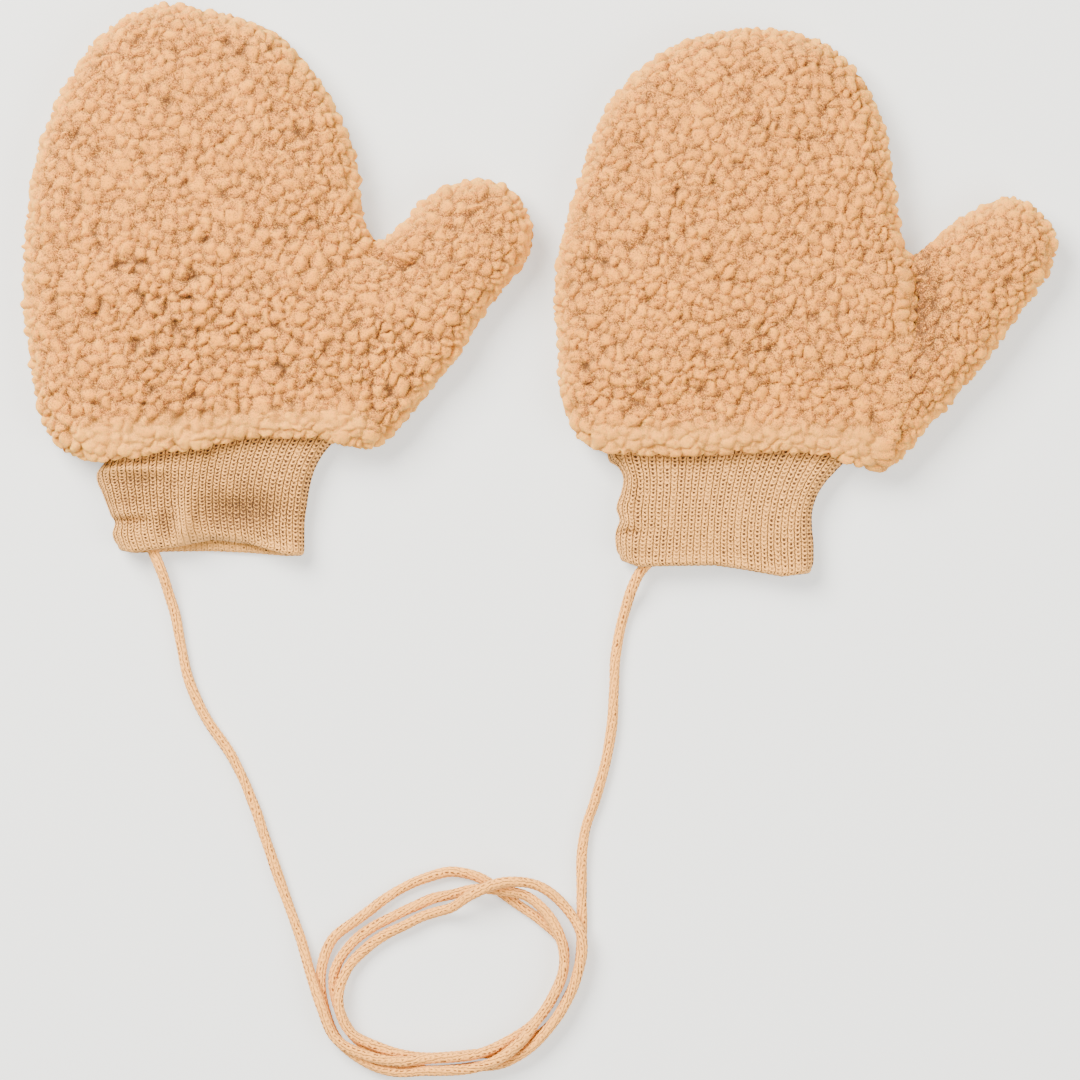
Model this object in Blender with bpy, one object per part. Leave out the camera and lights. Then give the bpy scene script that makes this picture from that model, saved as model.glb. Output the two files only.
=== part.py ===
"""A pair of baby mittens in curly teddy fleece, with folded rib-knit cuffs and one cord between them, laid flat.

The right-hand mitten lies palm up on the left, the left-hand mitten back up on the right, thumbs pointing the same
way. Each mitten is a back panel, a palm panel cut in one with the front of the thumb, a thumb back and a cuff.

Frame: +Z up, the surface they lie on is z = 0, +Y runs towards the fingertips, and the origin is the middle of the
two mittens on that surface. Sizes and tables are in millimetres and are turned into metres when a mesh is made.
"""

import math

import bmesh
import bpy
import numpy as np

MM = 0.001
GAP = 0.3  # between sewn pieces

# The fleece. Its curls are part of the wall, so a panel is as thick as cloth and pile together.
SEAM_HEIGHT = 5.5  # inner face of the lower panels, where the two layers meet at the side seam
RIM = 1.1  # sewn edge of a panel, a small upright face
PILE_RADIUS = 9.0  # how far in from its edge an upper panel rounds up
UNDER_RADIUS = 5.5  # and a lower one rounds down to the surface
SEAM_STEEPNESS = 1.6  # two upper panels round down this much faster to the seam between them
SEAM_CLOSED = 0.85  # towards the hem that valley closes, to this share of the full height's depth
SEAM_CLOSING = (0.25, 0.75)  # where it starts and ends closing, as shares of the way down the seam
SHOULDER = 14.3  # height of the upper panels just inside their rounded edge
CROWN = 3.0  # what the middle of a wide panel rises above that
CROWN_REACH = 14.0  # how quickly it gets there
HAND_SPACE = 3.2  # most that the two layers stand apart inside
HAND_REACH = 18.0  # distance from the seam over which they part
HEM_TUCK = 3.5  # the lower panel's hem stops short of the upper one's, to make room for the cuff
CUFF_CLEARANCE = 1.0  # from the cuff's plain height to the hem above it, for its ribs and a gap
HEM_FADE = 7.0  # how far beside the cuff the hem settles back to the seam's height
INNER_FADE = 3.5  # and how far behind the cuff's end
UNDER_HEM = 3.4  # inner face of a lower panel at the hem, in line with the cuff's own hollow

OUTLINE_STEP = 4.4  # spacing of the points along a panel's edge
EDGE_INSETS = (0.7, 2.6, 5.6)  # rings that carry the rounded edge
INNER_INSETS = (3.4, 6.4)  # the same on a panel's inner face
NARROW_SHARE = 0.33  # of the way across a narrow tip that a ring may go in
SURFACE_GRID = 6.5  # spacing of the cuts that let a panel's middle crown and fold
INNER_GRID = 14.0

# The cuffs: rib knit, folded double at the mouth.
KNIT_WALL = 2.4
CUFF_HEIGHT = 8.6  # lying flat, both walls and the hollow between them
CUFF_RIBS = 27  # raised ribs across the side that shows
RIB_RISE = 0.45
CUFF_UNDER_POINTS = 9  # points across the side it lies on
CUFF_SECTIONS = 10
FOLD_ROUNDING = 1.0  # how far the folded mouth edge rounds off
FOLD_SHARE = 0.03  # and over what share of the cuff's length
HOLLOW_MARGIN = 0.2  # extra wall under the ribs
HOLLOW_LEAST = 0.4  # least half height of the hollow

# The cord.
CORD = 2.8  # diameter
CORD_STEP = 22.5  # degrees of the coil between the tube's points, the same angles on every turn
LEAD_STEP = 8.0  # and their spacing along the leads
STACK = 3.3  # between the middles of two lengths that lie side by side or one on the other
COIL_CENTRE = (-22.8, -177.1)

FLEECE = (0.74, 0.47, 0.28)
FLEECE_UNDER = (0.70, 0.44, 0.26)
KNIT = (0.66, 0.42, 0.25)
CORD_COLOUR = (0.80, 0.55, 0.36)
CLOTH_ROUGHNESS = 0.95
SHARP_ANGLE = math.radians(50)

# Outlines, as rows of x, y. HEM runs from the side seam to the far corner, BODY from there over the fingers to the
# fork of the thumb, THUMB from the fork round the thumb back to the side seam, and SEAM from the fork straight down.
RIGHT_HAND = {
    "hem": [(-45, -41), (-52.5, -40), (-56.5, -38), (-65, -38), (-74, -38), (-82.5, -39.5), (-91, -41.5),
            (-97.5, -41.5), (-104, -43), (-115, -44.5)],
    "body": [(-115, -44.5), (-121.5, -42.4), (-126.3, -39), (-129.7, -31.5), (-132, -19), (-134, -2.5),
             (-133.3, 16), (-130.8, 34), (-125.5, 48.5), (-117.5, 62), (-106.5, 71.5), (-95.5, 74.3), (-83.5, 72),
             (-75, 69.7), (-67.5, 66), (-60.5, 58.5), (-54, 49.5), (-49.2, 38.5), (-47, 28), (-46.3, 19.5),
             (-44.8, 15), (-42, 12.3)],
    "thumb": [(-42, 12.3), (-37.5, 15.3), (-30, 23.5), (-21.5, 27.8), (-13.5, 28.6), (-7.5, 26), (-3.6, 20.5),
              (-2, 14.5), (-3.8, 8), (-8.4, 2.5), (-15.5, -7), (-21, -16), (-28.5, -25), (-35, -33.5),
              (-40, -38.5), (-45, -41)],
    "seam": [(-42, 12.3), (-41, 0.5), (-40.5, -12.5), (-41.5, -27), (-45, -41)],
}
LEFT_HAND = {
    "hem": [(88.5, -46.5), (83, -46), (77.5, -43.5), (67.5, -42), (57.5, -41.5), (44.5, -42.5), (31.5, -42.5),
            (20.5, -42), (17, -42)],
    "body": [(17, -42), (11.3, -39), (8, -33.8), (5.8, -25), (5.2, -15), (4.4, -2), (5, 8), (7.4, 18),
             (11.5, 32), (15.6, 44), (23.4, 54.8), (34.5, 63.2), (44.5, 66.8), (54.5, 67.8), (67, 66.6),
             (77.5, 61.6), (84.8, 53.5), (89.6, 42), (91.8, 30), (93, 19), (95.5, 7.8)],
    "thumb": [(95.5, 7.8), (100.2, 10.8), (106.3, 16.4), (116.5, 22.6), (123, 23.8), (129.8, 20), (134, 13),
              (132.3, 5.5), (127.8, -1), (122.2, -8.5), (118, -15), (112.6, -21.5), (106.5, -28.5),
              (99.5, -36.3), (93, -43.8), (88.5, -46.5)],
    "seam": [(95.5, 7.8), (96, -2.5), (95, -14), (93.5, -25.5), (91, -36), (88.5, -46.5)],
}

# Folds of the upper side, as rows of x, y at one end, x, y at the other, depth (a ridge is negative) and half width.
RIGHT_HAND_FOLDS = [
    (-44, 9.5, -34, 6.5, 2.2, 2.2),  # crease that runs out of the thumb's fork
    (-34, 5, -33, -24, 0.9, 6.0),  # where the thumb turns away from the palm
    (-112, -12, -78, -16, 1.2, 9.0),  # hollow of the palm
    (-126, -30, -52, -27.5, 0.9, 2.6),  # above the rolled hem
    (-120, -37, -52, -34, -0.5, 4.0),  # the rolled hem itself
]
LEFT_HAND_FOLDS = [
    (22.5, -3, 45, -9.5, 1.1, 4.5),
    (43, -18, 63, -27, 1.0, 4.0),
    (12, -28, 84, -30, 0.9, 2.6),  # above the rolled hem
    (16, -37, 82, -38.5, -0.5, 4.0),  # the rolled hem itself
    (88.2, -34, 88.4, -45.5, 0.9, 1.8),  # pinch at the foot of the thumb's seam
]

# Cuffs, as rows of the share of the way from mouth to hem, and the cuff's left and right edge there.
RIGHT_HAND_CUFF = {
    "edges": [(0.0, -109.8, -61.2), (0.06, -110.8, -61.1), (0.14, -111.3, -61.1), (0.25, -110.6, -61.0),
              (0.36, -111.8, -60.5), (0.5, -112.9, -59.8), (0.64, -114.0, -58.6), (0.78, -115.2, -56.2),
              (0.9, -115.3, -53.8), (1.0, -113.0, -52.0)],
    # the mouth: share of the way across, y of the lower layer, y of the upper layer
    "mouth": [(0.0, -67.4, -67.4), (0.08, -68.2, -68.0), (0.3, -67.9, -67.0), (0.5, -67.9, -65.8),
              (0.7, -68.3, -66.4), (0.9, -69.0, -68.8), (1.0, -68.9, -68.9)],
    # soft relief of the upper layer: x, y, reach in x, reach in y, rise
    "relief": [(-92.2, -59.5, 3.0, 7.5, 1.6), (-78, -58, 11.0, 5.0, -1.3), (-106, -59.9, 5.5, 1.5, -1.2),
               (-104, -66, 7.0, 2.5, 0.5), (-105, -46.2, 9.0, 1.6, 0.6)],
}
LEFT_HAND_CUFF = {
    "edges": [(0.0, 20.8, 70.8), (0.06, 19.9, 71.4), (0.15, 19.6, 71.5), (0.22, 19.8, 71.4), (0.31, 20.7, 71.1),
              (0.42, 19.9, 71.0), (0.55, 21.1, 71.9), (0.68, 21.7, 74.1), (0.8, 19.9, 77.2), (0.9, 18.0, 79.4),
              (1.0, 17.4, 80.8)],
    "mouth": [(0.0, -70.0, -70.0), (0.1, -71.8, -71.8), (0.3, -71.6, -71.4), (0.5, -71.5, -71.2),
              (0.65, -72.6, -72.4), (0.85, -74.4, -74.3), (1.0, -73.4, -73.4)],
    "relief": [(22.5, -63, 4.0, 1.3, -1.0), (23, -59.5, 3.0, 2.5, 0.5), (22.5, -68, 3.0, 2.5, 0.5),
               (50, -60, 14.0, 7.0, 0.4)],
}

# The cord's route, as rows of x, y, height of its middle. It starts inside the right hand's cuff.
FLAT = CORD / 2
FIRST_LEAD = [(-102.5, -64.5, 4.1), (-101.3, -66.5, 4.2), (-100, -69, 4.4), (-98, -74, 3.8), (-96.5, -79, 2.2),
              (-95, -84, FLAT), (-93.5, -92, FLAT), (-91.5, -101, FLAT), (-87, -111, FLAT), (-80, -121.5, FLAT),
              (-75, -132.5, FLAT), (-70.5, -145.5, FLAT), (-66.5, -157, FLAT), (-62.3, -168.5, 2.0)]
LAST_LEAD = [(11, -168, FLAT), (11, -157, FLAT), (11, -148, FLAT), (12, -140, FLAT), (14.5, -132.5, FLAT),
             (17.5, -121.5, FLAT), (19, -111.5, FLAT), (19.4, -104.5, FLAT), (19.7, -96.5, FLAT), (21, -88, FLAT),
             (22.6, -82, 2.0), (24.1, -77.5, 3.6), (26.1, -73.2, 4.6), (28.9, -70.4, 4.5), (32, -68.6, 4.4)]
# Three open turns. Where all four passes run together, they are a square bundle that turns over once: rows of the
# angle round the coil, radius of the bundle's middle, half its width and how far it has turned.
BUNDLE = [(210, 32.9, 2.0, 0), (225, 30.2, 1.9, 30), (240, 27.6, 1.8, 60), (255, 25.1, 1.7, 90),
          (270, 24.0, 1.7, 90), (285, 24.1, 1.7, 90), (300, 25.1, 1.7, 120), (315, 26.1, 1.7, 150),
          (330, 27.4, 1.8, 180), (345, 28.9, 1.9, 180), (360, 30.9, 1.95, 180)]
BUNDLE_CORNERS = (45, -45, 225, 135)  # where each pass sits in the bundle before it turns
# Where the three turns spread: rows of the angle, then radius and height of the first, second and third.
FAN = [(15, 29.6, 1.4, 29.6, 4.7, 35.0, 4.7), (30, 26.5, 1.4, 29.1, 4.4, 33.9, 3.6),
       (45, 24.4, 1.4, 27.7, 4.3, 31.7, 5.5), (60, 24.3, 1.4, 24.5, 5.0, 27.0, 7.6),
       (75, 25.4, 1.4, 22.2, 3.7, 21.0, 7.0), (90, 25.9, 1.4, 20.0, 1.9, 16.7, 4.3),
       (105, 25.2, 1.4, 19.5, 1.4, 16.0, 2.6), (120, 25.2, 1.4, 19.5, 1.4, 16.3, 2.6),
       (135, 25.8, 1.4, 20.6, 1.4, 17.1, 2.6), (150, 27.7, 1.4, 23.4, 1.4, 19.5, 2.0),
       (165, 32.2, 1.4, 27.2, 1.4, 23.1, 1.9)]
# Where they gather again: rows of the angle, then radius and height of each of the four passes.
GATHER = [(180, 37.1, 3.2, 34.1, 1.4, 30.6, 1.4, 27.6, 2.9), (195, 35.2, 4.7, 34.6, 1.4, 31.1, 1.4, 30.6, 4.7)]


def smooth_curve(points, pieces=12):
    """Points of a curve that runs evenly through the given ones. Columns after the third are carried along."""
    given = np.array(points, float)
    given = np.vstack([2 * given[0] - given[1], given, 2 * given[-1] - given[-2]])
    steps = np.maximum(np.linalg.norm(np.diff(given[:, :3], axis=0), axis=1), 1e-6) ** 0.5
    knots = np.concatenate([[0], np.cumsum(steps)])
    found = []
    for i in range(1, len(given) - 2):
        t0, t1, t2, t3 = knots[i - 1 : i + 3]
        p0, p1, p2, p3 = given[i - 1 : i + 3]
        for t in np.linspace(t1, t2, pieces, endpoint=False):
            a1 = ((t1 - t) * p0 + (t - t0) * p1) / (t1 - t0)
            a2 = ((t2 - t) * p1 + (t - t1) * p2) / (t2 - t1)
            a3 = ((t3 - t) * p2 + (t - t2) * p3) / (t3 - t2)
            b1 = ((t2 - t) * a1 + (t - t0) * a2) / (t2 - t0)
            b2 = ((t3 - t) * a2 + (t - t1) * a3) / (t3 - t1)
            found.append(((t2 - t) * b1 + (t - t1) * b2) / (t2 - t1))
    found.append(given[-2])
    return np.array(found)


def spaced(curve, count):
    """The same curve as count points an equal distance apart."""
    along = np.concatenate([[0], np.cumsum(np.linalg.norm(np.diff(curve, axis=0), axis=1))])
    wanted = np.linspace(0, along[-1], count)
    return np.stack([np.interp(wanted, along, curve[:, axis]) for axis in range(curve.shape[1])], axis=1)


def edge_points(points):
    """A stretch of outline at the panels' own spacing, without its last point, where the next stretch starts."""
    curve = smooth_curve(points)
    length = np.linalg.norm(np.diff(curve, axis=0), axis=1).sum()
    return spaced(curve, max(3, round(length / OUTLINE_STEP) + 1))[:-1]


def tucked(hem):
    """The lower panel's hem, drawn back from the cuff."""
    rows = np.array(hem, float)
    rows[1:-1, 1] += HEM_TUCK
    return rows


def shifted(points, dx):
    return np.array(points, float) + (dx, 0)


def mitten_outlines(shape):
    """Closed outlines of the three fleece pieces, for the upper and the lower layer, and how many of each one's last
    points are on the seam that a back panel and its thumb share."""
    hem = edge_points(shape["hem"])
    low_hem = edge_points(tucked(shape["hem"]))
    body = edge_points(shape["body"])
    thumb = edge_points(shape["thumb"])
    seam = edge_points(shape["seam"])
    thumb_seam = edge_points(shifted(shape["seam"][::-1], GAP))
    thumb_piece = edge_points(shifted(shape["thumb"], GAP))
    return {
        "whole": (np.vstack([hem, body, thumb]), 0),
        "whole_low": (np.vstack([low_hem, body, thumb]), 0),
        "back": (np.vstack([hem, body, seam]), len(seam)),
        "back_low": (np.vstack([low_hem, body, seam]), 0),
        "thumb": (np.vstack([thumb_piece, thumb_seam]), len(thumb_seam)),
        "thumb_low": (np.vstack([thumb_piece, thumb_seam]), 0),
    }


def distance_to(points, line):
    """Distance from each point to the nearest stretch of an open line."""
    start = line[:-1]
    run = np.diff(line, axis=0)
    offset = points[:, None, :] - start[None]
    share = np.clip((offset * run).sum(axis=2) / (run**2).sum(axis=1), 0, 1)
    return np.linalg.norm(offset - share[..., None] * run, axis=2).min(axis=1)


def depth_inside(points, outline, seam_count=0):
    """How far in each point is from the rounded edge. The outline's last seam_count points are its seam, where the
    next upper panel carries on: the valley between them is steep at the top and closes towards the hem."""
    closed = np.vstack([outline, outline[:1]])
    if not seam_count:
        return distance_to(points, closed)
    free_count = len(outline) - seam_count
    seam = closed[free_count:]
    high, low = seam[:, 1].max(), seam[:, 1].min()
    down = (high - points[:, 1]) / (high - low)
    start, end = SEAM_CLOSING
    closing = SEAM_CLOSED * PILE_RADIUS * smoothstep((down - start) / (end - start))
    return np.minimum(distance_to(points, closed[: free_count + 1]), distance_to(points, seam) * SEAM_STEEPNESS + closing)


def rounded(depth, radius):
    """0 at an edge, rising like a quarter circle to 1 at the radius."""
    inward = 1 - np.clip(depth / radius, 0, 1)
    return np.sqrt(np.maximum(1 - inward**2, 0))


def smoothstep(share):
    share = np.clip(share, 0, 1)
    return share * share * (3 - 2 * share)


def fold_relief(points, folds):
    """How far the folds lower each point."""
    relief = np.zeros(len(points))
    for x0, y0, x1, y1, depth, half_width in folds:
        start = np.array((x0, y0))
        run = np.array((x1, y1)) - start
        share = np.clip(((points - start) * run).sum(axis=1) / (run**2).sum(), 0, 1)
        away = np.linalg.norm(points - start - share[:, None] * run, axis=1)
        relief += depth * np.exp(-((away / half_width) ** 2))
    return relief


def over_cuff(points, cuff):
    """1 above the part of the cuff that reaches under the hem, fading to 0 around it."""
    _, left, right = cuff["edges"][-1]
    hem_y = np.interp(np.clip(points[:, 0], left + HEM_TUCK, right - HEM_TUCK), *cuff_hem_line(cuff))
    beside = np.maximum(np.maximum(left - points[:, 0], points[:, 0] - right), 0)
    inside = np.maximum(points[:, 1] - hem_y, 0)
    return 1 - smoothstep(np.hypot(beside / HEM_FADE, inside / INNER_FADE))


def cuff_hem_line(cuff):
    """The upper end of the cuff, just short of the lower panel's hem, as rising x and the y there."""
    line = smooth_curve(tucked(cuff["hem"]))[::-1]
    return line[:, 0], line[:, 1] - 2 * GAP


def upper_heights(points, depth, folds, cuff):
    """Inner and outer height of an upper panel."""
    lift = over_cuff(points, cuff)
    seam = SEAM_HEIGHT + GAP
    clear = CUFF_HEIGHT + RIB_RISE + CUFF_CLEARANCE
    inner = seam + HAND_SPACE * smoothstep(depth / HAND_REACH)
    inner = inner + (np.maximum(clear, inner) - inner) * lift
    plateau = SHOULDER + CROWN * (1 - np.exp(-np.maximum(depth - PILE_RADIUS, 0) / CROWN_REACH))
    plateau = plateau - fold_relief(points, folds) * rounded(depth, PILE_RADIUS)
    edge = np.minimum(seam + (clear - seam) * lift, plateau) + RIM
    outer = edge + (plateau - edge) * rounded(depth, PILE_RADIUS)
    return np.minimum(inner, outer - RIM), outer


def lower_heights(points, depth, cuff):
    """Outer and inner height of a lower panel, which rests on the surface."""
    at_edge = depth < EDGE_INSETS[0] / 2
    inner = SEAM_HEIGHT - (SEAM_HEIGHT - UNDER_HEM) * over_cuff(points, cuff) * at_edge
    outer = (inner - RIM) * (1 - rounded(depth, UNDER_RADIUS))
    return outer, inner


def drawn_in(outline, insets):
    """The outline and its successive insets, point for point. They go in less where the piece is narrow."""
    after = np.roll(outline, -1, axis=0)
    along = after - np.roll(outline, 1, axis=0)
    inward = np.stack([-along[:, 1], along[:, 0]], axis=1) / np.linalg.norm(along, axis=1)[:, None]
    if (outline[:, 0] * after[:, 1] - after[:, 0] * outline[:, 1]).sum() < 0:
        inward = -inward

    def cross(one, other):
        return one[..., 0] * other[..., 1] - one[..., 1] * other[..., 0]

    # how far straight in the other side of the piece is, from each point
    edges = (after - outline)[None]
    offset = outline[None] - outline[:, None]
    slant = cross(inward[:, None], edges)
    slant = np.where(abs(slant) < 1e-9, 1e-9, slant)
    way = cross(offset, edges) / slant
    where = cross(offset, inward[:, None]) / slant
    free = np.where((where >= 0) & (where <= 1) & (way > GAP), way, np.inf).min(axis=1)
    free = np.minimum(free, np.minimum(np.roll(free, 1), np.roll(free, -1)))
    share = np.minimum(1, NARROW_SHARE * free / insets[-1])[:, None]
    return [outline] + [outline + inward * inset * share for inset in insets]


def loft(bm, rings, closed):
    """Faces between successive rings of equally many points. Closed joins the last ring to the first as well."""
    loops = [[bm.verts.new(point) for point in ring] for ring in rings]
    for first, second in zip(loops, loops[1:] + loops[:1] if closed else loops[1:]):
        for k in range(len(first)):
            after = (k + 1) % len(first)
            bm.faces.new((first[k], first[after], second[after], second[k]))
    return loops


def grid_cuts(bm, face, spacing):
    """Cuts across a flat face both ways, so that it can be lifted."""
    points = np.array([vert.co[:2] for vert in face.verts])
    low, high = points.min(axis=0), points.max(axis=0)
    inside = [face]
    for axis, normal in ((0, (1, 0, 0)), (1, (0, 1, 0))):
        cuts = round((high[axis] - low[axis]) / spacing)
        for place in np.linspace(low[axis], high[axis], cuts + 1)[1:-1]:
            cut = bmesh.ops.bisect_plane(
                bm,
                geom=list({item for face in inside for item in (face, *face.edges, *face.verts)}),
                dist=1e-4,
                plane_co=[place * along for along in normal],
                plane_no=normal,
            )
            inside = [item for item in cut["geom"] if isinstance(item, bmesh.types.BMFace)]


def panel(name, cut, heights, colour, on_top):
    """A fleece panel lofted from the middle of its lower face, round the sewn edge, to the middle of its upper one."""
    outline, seam_count = cut
    below, above = (INNER_INSETS, EDGE_INSETS) if on_top else (EDGE_INSETS, INNER_INSETS[:1])
    sections = [(ring, 0) for ring in drawn_in(outline, below)[::-1]]
    sections += [(ring, 1) for ring in drawn_in(outline, above)]
    bm = bmesh.new()
    loops = loft(bm, [[(x, y, level) for x, y in ring] for ring, level in sections], closed=False)
    bottom, top = bm.faces.new(loops[0]), bm.faces.new(loops[-1])
    if on_top:
        grid_cuts(bm, bottom, INNER_GRID)
        grid_cuts(bm, top, SURFACE_GRID)
    points = np.array([vert.co[:2] for vert in bm.verts])
    low, high = heights(points, depth_inside(points, outline, seam_count))
    for vert, low_z, high_z in zip(bm.verts, low, high):
        vert.co.z = high_z if vert.co.z > 0.5 else low_z
    return finish(name, bm, colour)


def finish(name, bm, colour):
    """The mesh as a named object in metres, faces outwards, with its own cloth material."""
    bmesh.ops.triangulate(bm, faces=bm.faces[:])
    bmesh.ops.recalc_face_normals(bm, faces=bm.faces[:])
    bmesh.ops.scale(bm, vec=(MM, MM, MM), verts=bm.verts[:])
    mesh = bpy.data.meshes.new(name)
    bm.to_mesh(mesh)
    bm.free()
    mesh.shade_smooth()
    mesh.set_sharp_from_angle(angle=SHARP_ANGLE)
    piece = bpy.data.objects.new(name, mesh)
    piece.data.materials.append(cloth_material(name, colour))
    return piece


def cloth_material(name, colour):
    material = bpy.data.materials.new(name + "_cloth")
    material.use_nodes = True
    shader = material.node_tree.nodes["Principled BSDF"]
    shader.inputs["Base Color"].default_value = (*colour, 1)
    shader.inputs["Roughness"].default_value = CLOTH_ROUGHNESS
    return material


def cuff_section(cuff, share, shrink=0.0):
    """Outer and inner ring of a cuff at one share of the way from its mouth to its hem."""
    places, lefts, rights = np.array(cuff["edges"]).T
    left = np.interp(share, places, lefts) + shrink
    right = np.interp(share, places, rights) - shrink
    across, low_y, high_y = np.array(cuff["mouth"]).T
    hem_line = cuff_hem_line(cuff)
    side = CUFF_HEIGHT / 2

    def y_at(x, mouth_line):
        mouth_y = np.interp((x - left) / (right - left), across, mouth_line)
        return mouth_y + (np.interp(x, *hem_line) - mouth_y) * share

    def relief(x, y):
        return sum(
            rise * math.exp(-(((x - cx) / rx) ** 2) - ((y - cy) / ry) ** 2)
            for cx, cy, rx, ry, rise in cuff["relief"]
        )

    def arc_at(x):
        return float(rounded(min(x - left, right - x), side))

    def inner_x(part):
        return left + KNIT_WALL + (right - left - 2 * KNIT_WALL) * part

    outer, inner = [], []
    for k in range(2 * CUFF_RIBS + 1):
        part = k / (2 * CUFF_RIBS)
        x = left + (right - left) * part
        y = y_at(x, high_y)
        arc = arc_at(x)
        swell = relief(x, y) * arc
        rib = RIB_RISE * (k % 2)
        outer.append((x, y, side + (side - shrink + swell + rib) * arc))
        hollow = (side - KNIT_WALL - HOLLOW_MARGIN + min(swell, 0)) * arc
        inner.append((inner_x(part), y, side + max(hollow, HOLLOW_LEAST)))
    for k in range(CUFF_UNDER_POINTS):
        part = 1 - (k + 1) / (CUFF_UNDER_POINTS + 1)
        x = left + (right - left) * part
        y = y_at(x, low_y)
        arc = arc_at(x)
        outer.append((x, y, side - (side - shrink) * arc))
        inner.append((inner_x(part), y, side - (side - KNIT_WALL) * arc))
    return outer, inner


def cuff(name, shape, colour):
    """A rib-knit tube lying flat: ribs on the side that shows, plain inside and where it rests."""
    bm = bmesh.new()
    shares = np.linspace(0, 1, CUFF_SECTIONS)
    rings = [cuff_section(shape, 0.0, FOLD_ROUNDING)[0], cuff_section(shape, FOLD_SHARE)[0]]
    rings += [cuff_section(shape, share)[0] for share in shares[1:]]
    rings += [cuff_section(shape, share)[1] for share in shares[::-3]]
    loft(bm, rings, closed=True)
    return finish(name, bm, colour)


def coil_points():
    """The cord's three open turns: gathered passes on the left and below, fanned out above."""
    def place(angle, radius, height):
        here = math.radians(angle)
        passed = angle + 360 * turn if angle >= GATHER[0][0] else angle + 360 * (turn + 1)
        return (COIL_CENTRE[0] + radius * math.cos(here), COIL_CENTRE[1] + radius * math.sin(here), height, passed)

    points = []
    for turn, corner in enumerate(BUNDLE_CORNERS):
        for angle, *passes in GATHER:
            points.append(place(angle, *passes[2 * turn : 2 * turn + 2]))
        for angle, radius, half_width, twist in BUNDLE:
            corners = [math.radians(other + twist) for other in BUNDLE_CORNERS]
            here = math.radians(corner + twist)
            lowest = min(math.sin(other) for other in corners)
            height = FLAT + STACK / math.sqrt(2) * (math.sin(here) - lowest)
            points.append(place(angle, radius + half_width * math.sqrt(2) * math.cos(here), height))
        if turn < len(BUNDLE_CORNERS) - 1:
            for angle, *passes in FAN:
                points.append(place(angle, *passes[2 * turn : 2 * turn + 2]))
    return points


def cord_route():
    """The whole route, with a fourth column that counts on evenly: degrees round the coil, and as much on the leads."""
    coil = coil_points()
    per_mm = CORD_STEP / LEAD_STEP

    def counted(lead, start, sign):
        before = start[:3]
        count = start[3]
        rows = []
        for row in lead:
            count += sign * per_mm * math.dist(before, row)
            before = row
            rows.append((*row, count))
        return rows

    first = counted(FIRST_LEAD[::-1], coil[0], -1)[::-1]
    last = counted(LAST_LEAD, coil[-1], 1)
    route = smooth_curve(first + coil + last)
    route[:, 2] = np.maximum(route[:, 2], FLAT)
    return route


def cord(name, colour):
    curve_points = cord_route()
    count = curve_points[:, 3]
    whole = np.arange(math.ceil(count[0] / CORD_STEP) + 1, math.floor(count[-1] / CORD_STEP)) * CORD_STEP
    wanted = np.concatenate([count[:1], whole, count[-1:]])
    route = np.stack([np.interp(wanted, count, curve_points[:, axis]) for axis in range(3)], axis=1) * MM
    curve = bpy.data.curves.new(name, "CURVE")
    curve.dimensions = "3D"
    curve.bevel_depth = CORD / 2 * MM
    curve.bevel_resolution = 2
    curve.use_fill_caps = True
    spline = curve.splines.new("POLY")
    spline.points.add(len(route) - 1)
    for point, place in zip(spline.points, route):
        point.co = (*place, 1)
    piece = bpy.data.objects.new(name, curve)
    curve.materials.append(cloth_material(name, colour))
    return piece


def mitten(hand, shape, folds, cuff_shape, palm_up):
    """The four sewn pieces of one mitten. The side that shows is the upper layer."""
    cuff_shape = {**cuff_shape, "hem": shape["hem"]}
    outlines = mitten_outlines(shape)

    def upper(points, depth):
        return upper_heights(points, depth, folds, cuff_shape)

    def lower(points, depth):
        return lower_heights(points, depth, cuff_shape)

    if palm_up:
        pieces = [
            panel(hand + "_palm_panel", outlines["whole"], upper, FLEECE, True),
            panel(hand + "_back_panel", outlines["back_low"], lower, FLEECE_UNDER, False),
            panel(hand + "_thumb_back", outlines["thumb_low"], lower, FLEECE_UNDER, False),
        ]
    else:
        pieces = [
            panel(hand + "_back_panel", outlines["back"], upper, FLEECE, True),
            panel(hand + "_thumb_back", outlines["thumb"], upper, FLEECE, True),
            panel(hand + "_palm_panel", outlines["whole_low"], lower, FLEECE_UNDER, False),
        ]
    return pieces + [cuff(hand + "_cuff", cuff_shape, KNIT)]


def main():
    for old in list(bpy.data.objects):
        bpy.data.objects.remove(old, do_unlink=True)
    home = bpy.data.collections.new("baby_mittens")
    bpy.context.scene.collection.children.link(home)
    pieces = mitten("right", RIGHT_HAND, RIGHT_HAND_FOLDS, RIGHT_HAND_CUFF, palm_up=True)
    pieces += mitten("left", LEFT_HAND, LEFT_HAND_FOLDS, LEFT_HAND_CUFF, palm_up=False)
    pieces.append(cord("cord", CORD_COLOUR))
    for piece in pieces:
        home.objects.link(piece)


main()
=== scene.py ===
"""Dresses a pair of baby mittens: curly teddy fleece, folded rib-knit cuffs and a soft knitted cord.

Tables and shapes are in millimetres and are turned into metres when a mesh is made. +X runs from the
right-hand mitten to the left-hand one, +Y towards the fingertips and +Z up, and the mittens lie on z = 0.
"""

import itertools
import math

import bmesh
import bpy
import numpy as np
from mathutils import Matrix, Vector, noise


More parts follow.
